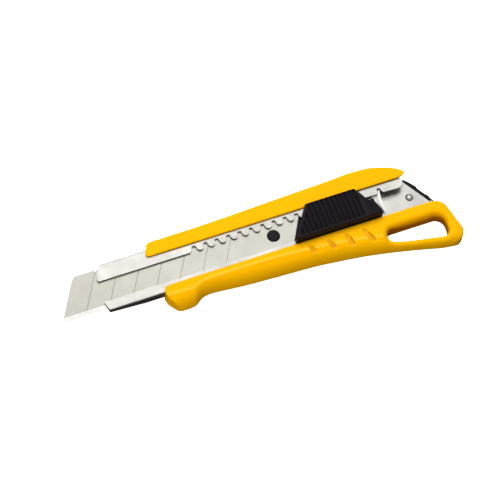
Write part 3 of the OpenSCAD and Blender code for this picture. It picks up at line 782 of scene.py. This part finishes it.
def shaped(mesh, cuts, keep=(), joined=(), edge=EDGE):
    """The mesh with those of joined, inside each of keep and without the cuts, its sharp edges rounded."""
    base = bpy.data.objects.new("base", mesh)
    bpy.context.scene.collection.objects.link(base)
    tools = []
    for operation, others in (("UNION", joined), ("INTERSECT", keep), ("DIFFERENCE", cuts)):
        for other in others:
            tool = bpy.data.objects.new("tool", other)
            bpy.context.scene.collection.objects.link(tool)
            tools.append(tool)
            step = base.modifiers.new("step", "BOOLEAN")
            step.solver = "EXACT"
            step.operation = operation
            step.object = tool
    soften(base, edge)
    view = bpy.context.evaluated_depsgraph_get()
    made = bpy.data.meshes.new_from_object(base.evaluated_get(view))
    for thing in (base, *tools):
        bpy.data.objects.remove(thing)
    return made


def soften(thing, edge):
    """Rounds the sharp edges of an object, in its own units, and keeps its flat faces flat."""
    bevel = thing.modifiers.new("edges", "BEVEL")
    bevel.width = edge
    bevel.segments = 2
    bevel.limit_method = "ANGLE"
    bevel.angle_limit = math.radians(40)
    bevel.harden_normals = True


def channel_ring(x, inset, radius):
    """Section of the channel at x, drawn in by inset, as one closed loop of points."""
    t = (RAMP_END - x) / RAMP_EASE
    past = RAMP_EASE * (0 if t < -0.5 else t if t > 0.5 else (t + 0.5) ** 2 / 2)
    floor = FLOOR_LOW + (NOSE_LOW - FLOOR_LOW) * past / (RAMP_END - NOSE_X)
    y0, y1 = WALL_LOW + inset + radius, WALL_HIGH - inset - radius
    z0, z1 = floor + inset + radius, LIP_TOP - inset - radius
    corners = [((y1, z1), 0), ((y0, z1), 90), ((y0, z0), 180), ((y1, z0), 270)]
    return [(x, y, z) for centre, start in corners
            for y, z in arc(centre, radius, radius, start, start + 90, 5)]


def rack_edge():
    """Edge of the upper lip: notches with rounded teeth between them."""
    points = [(NOSE_X + 0.6, 12.15), (FIRST_NOTCH - 2.3, 12.15), (FIRST_NOTCH - 1.7, 12.6)]
    for k in range(NOTCH_COUNT):
        x = FIRST_NOTCH + k * NOTCH_PITCH
        left = (x - NOTCH_HALF + NOTCH_R, NOTCH_ROOT - NOTCH_R)
        right = (x + NOTCH_HALF - NOTCH_R, NOTCH_ROOT - NOTCH_R)
        points += arc(left, NOTCH_R, NOTCH_R, 180 - TOOTH_FLANK, 90, 4)
        points += arc(right, NOTCH_R, NOTCH_R, 90, TOOTH_FLANK, 4)
        if k < NOTCH_COUNT - 1:
            points += arc((x + NOTCH_PITCH / 2, TOOTH_TIP + TOOTH_R), TOOTH_R, TOOTH_R,
                          180 + TOOTH_FLANK, 360 - TOOTH_FLANK, 12)
    return points


def lip_slot():
    """Plan of the channel's open side, between its two lips."""
    last = FIRST_NOTCH + (NOTCH_COUNT - 1) * NOTCH_PITCH
    stow = [(last + 1.7, 12.3), (last + 2.3, 11.9), (STOW_NOTCH - 1, 11.8), (STOW_NOTCH - 0.75, 14),
            (STOW_NOTCH - 0.5, 14.2), (STOW_NOTCH + 0.5, 14.2), (STOW_NOTCH + 0.8, 13.9)]
    stow += [(STOW_NOTCH + 1.0, 12.9), (STOW_NOTCH + 1.3, 12.2), (STOW_NOTCH + 1.9, 11.85), (151, 11.6)]
    rear = [(REAR_CUT, 15.8), (REAR_CUT, FAR), (FAR, FAR), (FAR, LIP_REAR), (141.6, LIP_REAR),
            (140.4, LIP_BACK)]
    return ([(0, LIP_BACK), (0, 13.4), (NOSE_X + 0.3, 13.4)] + rack_edge() + stow
            + arc((151.4, 14.4), 2.7, 2.8, 278, 360, 8) + rear)


def channel():
    stations = [NOSE_X] + [RAMP_END + RAMP_EASE * t / 6 for t in range(-3, 4)] + [SHEATH_END]
    outer = [channel_ring(x, 0, FOLD_R) for x in stations]
    inner = [channel_ring(x, SHEET, 0.1) for x in stations]
    tube = solid_of_rings([*outer, *inner[::-1]], closed=True)
    plan = [(NOSE_X + 1.2, WALL_LOW - 1), (NOSE_X + 1.2, WALL_LOW), (NOSE_X, 2.4), (NOSE_X + 0.3, 13.4),
            (NOSE_X + 3.1, WALL_HIGH), (NOSE_X + 3.1, WALL_HIGH + 1), (REAR_CUT, WALL_HIGH + 1),
            (REAR_CUT, 17.6),
            (SHEATH_END - 0.01, 3.4), (SHEATH_END - 0.01, WALL_LOW - 1)]
    holes = [cone(at, FLOOR_LOW - 0.1, FLOOR_LOW + SHEET + 0.1, RIVET_SHANK, COUNTERSINK) for at in RIVETS]
    holes.append(cone(RIVET_AT, FLOOR_LOW - 1, FLOOR_LOW + 2, REAR_RIVET_R + GAP, REAR_RIVET_R + GAP))
    return shaped(tube, [prism(lip_slot(), -0.5, LIP_TOP + 1), *holes], [prism(plan, -FAR, FAR)])


place_piece("channel", channel(), "handle", "channel_steel", "blade_sheath")

# ---- lock spring: a strip on edge beside the slider, and a creased leaf behind it ----

SPRING_T = 0.4
STRIP_Y = 11.15
STRIP = [[109.5, STRIP_Y, -0.45, 0.95], [114.9, STRIP_Y, -0.45, 0.95], [115.75, 11.65, -0.45, 0.95],
         [116.35, 13.5, -0.45, 0.95], [116.65, 13.75, -0.45, 0.95], [116.95, 13.5, -0.45, 0.95],
         [117.6, 11.65, -0.45, 0.95], [118.3, STRIP_Y, -0.45, 0.95], [131.5, STRIP_Y, -0.45, 0.95],
         [134.4, STRIP_Y, -1.5, 0.4], [136, STRIP_Y, -1.5, -0.6], [138.4, 11.2, -1.5, -0.6],
         [139.6, 11.4, -1.5, -0.1], [140.6, 12.0, -1.5, 0.0]]
LEAF = [[14.2, 142.5, 143.2, 143.9], [13.3, 142.4, 143.1, 143.7], [12.5, 141.9, 142.9, 143.5],
        [11.8, 140.6, 142.6, 143.35], [10.3, 140.0, 142.3, 143.1], [8.2, 140.7, 142.25, 142.9],
        [5.8, 141.6, 142.3, 142.8], [4.0, 142.0, 142.4, 142.75], [2.9, 142.2, 142.45, 142.65]]
LEAF_T = 0.25
CREASE_DEEP = 0.22                                     # of the leaf's crease below its two long edges


def strip_ring(path, i):
    """Section of an upright strip at a point of its path, whose points are [x, y, low, high]."""
    before, here, after = (np.array(path[min(max(k, 0), len(path) - 1)]) for k in (i - 1, i, i + 1))
    along = after[:2] - before[:2]
    side = np.array([-along[1], along[0]]) / np.hypot(*along) * SPRING_T / 2
    (lx, ly), (rx, ry), (low, high) = here[:2] + side, here[:2] - side, here[2:]
    return [(lx, ly, low), (rx, ry, low), (rx, ry, high), (lx, ly, high)]


def leaf_ring(y, left, crease, right):
    top = [(left, -0.02), (crease, -0.02 - CREASE_DEEP * (right - crease)), (right, 0)]
    return ([(x, y, z) for x, z in top] + [(x, y, z - LEAF_T) for x, z in top[::-1]])


def lock_spring():
    path = smooth_line(STRIP, 4)
    strip = solid_of_rings([strip_ring(path, i) for i in range(len(path))])
    leaf = solid_of_rings([leaf_ring(*row) for row in smooth_line(LEAF, 4)])
    return shaped(strip, [], joined=[leaf], edge=0.04)


place_piece("spring", lock_spring(), "carrier", "spring_steel", "lock_spring")

# ---- CAD pieces that keep their shape ----

SHOWN = {
    "rear_end_plate": "black_plastic", "rear_rivet": "rivet_steel", "sheath_rivets": "rivet_steel",
    "blade": "blade_steel", "blade_carrier": "black_plastic",
}
for name, slot in SHOWN.items():
    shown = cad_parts[name]
    shown.data.materials.clear()
    shown.data.materials.append(MATERIALS[slot])
WELD_REACH = 0.001 * MM                                # vertices nearer than this are one
CAD_EDGE = 0.15 * MM                                   # rounding of the black CAD pieces' edges
for name in ("rear_end_plate", "blade_carrier", "rear_rivet"):
    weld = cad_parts[name].modifiers.new("weld", "WELD")
    weld.merge_threshold = WELD_REACH
for name in ("rear_end_plate", "blade_carrier"):
    soften(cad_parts[name], CAD_EDGE)
